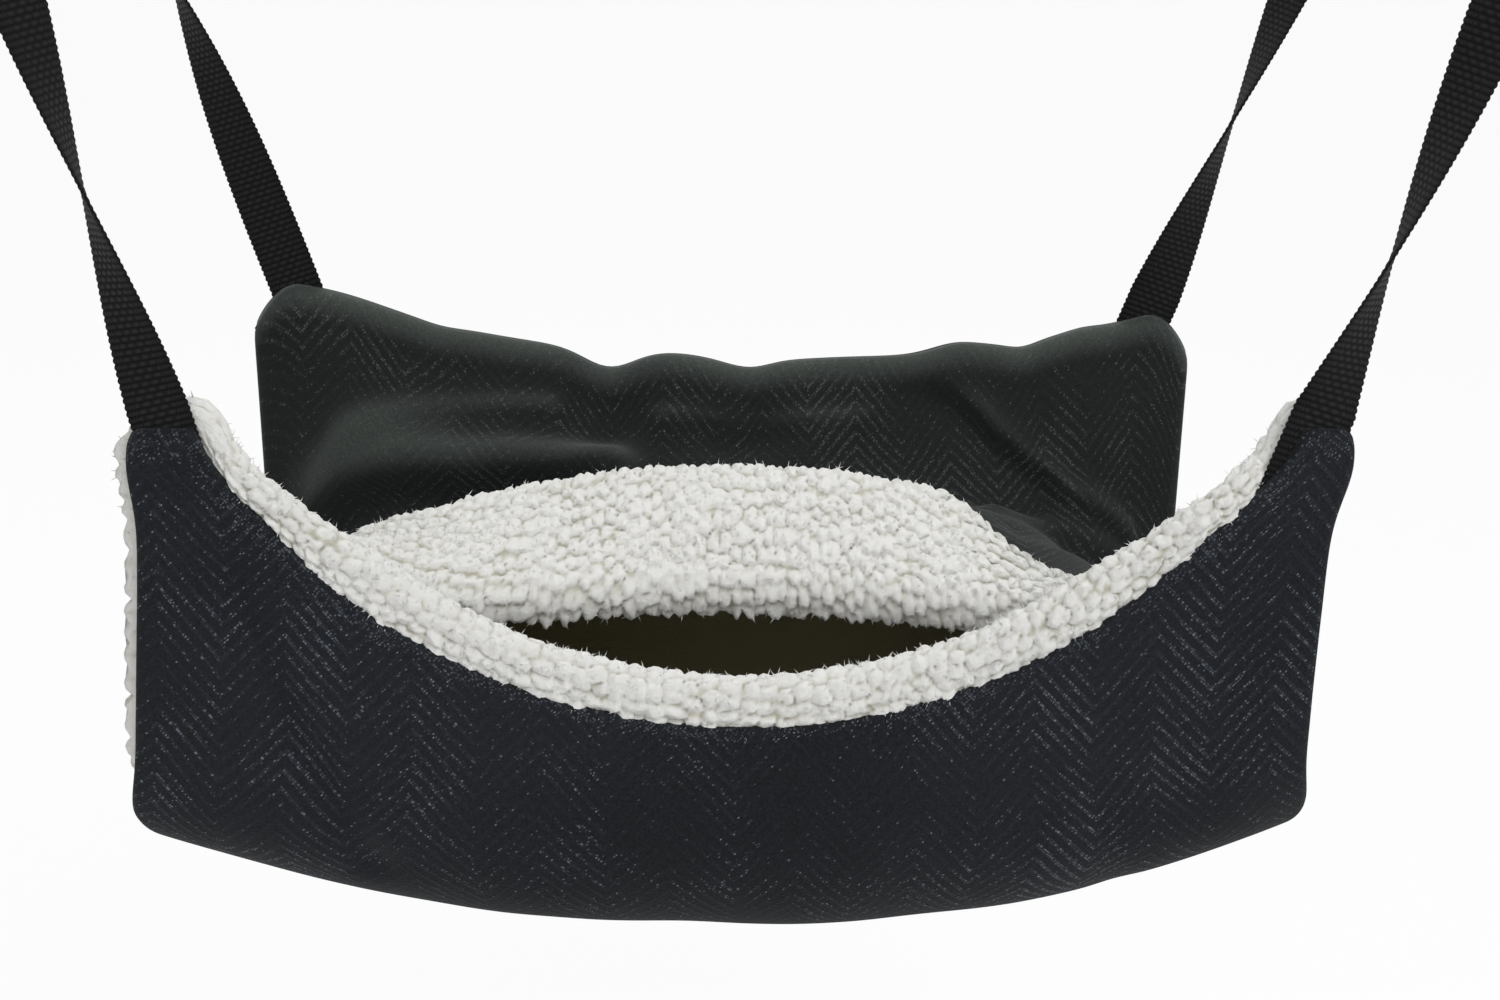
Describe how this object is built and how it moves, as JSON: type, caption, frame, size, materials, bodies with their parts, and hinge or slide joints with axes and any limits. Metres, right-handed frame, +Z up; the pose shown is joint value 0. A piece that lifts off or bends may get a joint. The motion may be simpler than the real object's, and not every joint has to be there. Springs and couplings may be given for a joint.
{
  "type": "small pet hammock",
  "caption": "Small pet hammock: a pile-lined sleeping pocket of herringbone cloth with a turned-back cuff, hung at its corners on twisted webbing straps with swivel bolt snaps.",
  "frame": {"origin": "middle of the four points where the snaps bear on what they hang from, level with them", "axes": "+Z up; +X to the right, along the wide way of the pouch; +Y to the back, away from the pocket mouth"},
  "size_m": [0.5422, 0.1838, 0.4693],
  "materials": {
    "herringbone_cloth": "woven herringbone, matt with a faint sparkle",
    "sherpa_pile": "curly off-white pile",
    "inner_cloth": "smooth dark brown",
    "webbing": "ribbed black webbing",
    "nickel_plate": "satin nickel plate",
    "spring_steel": "plain spring wire"
  },
  "bodies": {
    "hammock": {"sling_outer": "herringbone_cloth", "front_lining": "sherpa_pile", "floor_lining": "inner_cloth", "cover_outer": "herringbone_cloth", "cover_lining": "sherpa_pile", "strap_front_left": "webbing", "strap_front_right": "webbing", "strap_back_left": "webbing", "strap_back_right": "webbing"},
    "eye_front_left": {"swivel_eye_front_left": "nickel_plate"},
    "snap_front_left": {"snap_body_front_left": "nickel_plate", "bolt_spring_front_left": "spring_steel"},
    "bolt_front_left": {"snap_bolt_front_left": "nickel_plate", "bolt_knob_front_left": "nickel_plate"},
    "eye_front_right": {"swivel_eye_front_right": "nickel_plate"},
    "snap_front_right": {"snap_body_front_right": "nickel_plate", "bolt_spring_front_right": "spring_steel"},
    "bolt_front_right": {"snap_bolt_front_right": "nickel_plate", "bolt_knob_front_right": "nickel_plate"},
    "eye_back_left": {"swivel_eye_back_left": "nickel_plate"},
    "snap_back_left": {"snap_body_back_left": "nickel_plate", "bolt_spring_back_left": "spring_steel"},
    "bolt_back_left": {"snap_bolt_back_left": "nickel_plate", "bolt_knob_back_left": "nickel_plate"},
    "eye_back_right": {"swivel_eye_back_right": "nickel_plate"},
    "snap_back_right": {"snap_body_back_right": "nickel_plate", "bolt_spring_back_right": "spring_steel"},
    "bolt_back_right": {"snap_bolt_back_right": "nickel_plate", "bolt_knob_back_right": "nickel_plate"}
  },
  "joints": [
    {"name": "eye_tilt_front_left", "type": "hinge", "parent": "hammock", "child": "eye_front_left", "pos_m": [-0.23898, -0.0819, -0.046], "axis": [0.9725, 0, 0.233], "range_deg": [-80, 80]},
    {"name": "snap_swivel_front_left", "type": "hinge", "parent": "eye_front_left", "child": "snap_front_left", "pos_m": [-0.23898, -0.0819, -0.046], "axis": [-0.233, 0, 0.9725], "continuous": true},
    {"name": "bolt_slide_front_left", "type": "slide", "parent": "snap_front_left", "child": "bolt_front_left", "axis": [0.233, 0, -0.9725], "range_m": [0, 0.0065], "stiffness_N_per_m": 300, "springref_m": -0.007, "deforming": ["bolt_spring_front_left"]},
    {"name": "eye_tilt_front_right", "type": "hinge", "parent": "hammock", "child": "eye_front_right", "pos_m": [0.24704, -0.0819, -0.04487], "axis": [0.9487, 0, -0.3163], "range_deg": [-80, 80]},
    {"name": "snap_swivel_front_right", "type": "hinge", "parent": "eye_front_right", "child": "snap_front_right", "pos_m": [0.24704, -0.0819, -0.04487], "axis": [0.3163, 0, 0.9487], "continuous": true},
    {"name": "bolt_slide_front_right", "type": "slide", "parent": "snap_front_right", "child": "bolt_front_right", "axis": [-0.3163, 0, -0.9487], "range_m": [0, 0.0065], "stiffness_N_per_m": 300, "springref_m": -0.007, "deforming": ["bolt_spring_front_right"]},
    {"name": "eye_tilt_back_left", "type": "hinge", "parent": "hammock", "child": "eye_back_left", "pos_m": [-0.24745, 0.0819, -0.04501], "axis": [0.9515, 0, 0.3075], "range_deg": [-80, 80]},
    {"name": "snap_swivel_back_left", "type": "hinge", "parent": "eye_back_left", "child": "snap_back_left", "pos_m": [-0.24745, 0.0819, -0.04501], "axis": [-0.3075, 0, 0.9515], "continuous": true},
    {"name": "bolt_slide_back_left", "type": "slide", "parent": "snap_back_left", "child": "bolt_back_left", "axis": [0.3075, 0, -0.9515], "range_m": [0, 0.0065], "stiffness_N_per_m": 300, "springref_m": -0.007, "deforming": ["bolt_spring_back_left"]},
    {"name": "eye_tilt_back_right", "type": "hinge", "parent": "hammock", "child": "eye_back_right", "pos_m": [0.23349, 0.0819, -0.04433], "axis": [0.9371, 0, -0.349], "range_deg": [-80, 80]},
    {"name": "snap_swivel_back_right", "type": "hinge", "parent": "eye_back_right", "child": "snap_back_right", "pos_m": [0.23349, 0.0819, -0.04433], "axis": [0.349, 0, 0.9371], "continuous": true},
    {"name": "bolt_slide_back_right", "type": "slide", "parent": "snap_back_right", "child": "bolt_back_right", "axis": [-0.349, 0, -0.9371], "range_m": [0, 0.0065], "stiffness_N_per_m": 300, "springref_m": -0.007, "deforming": ["bolt_spring_back_right"]}
  ]
}
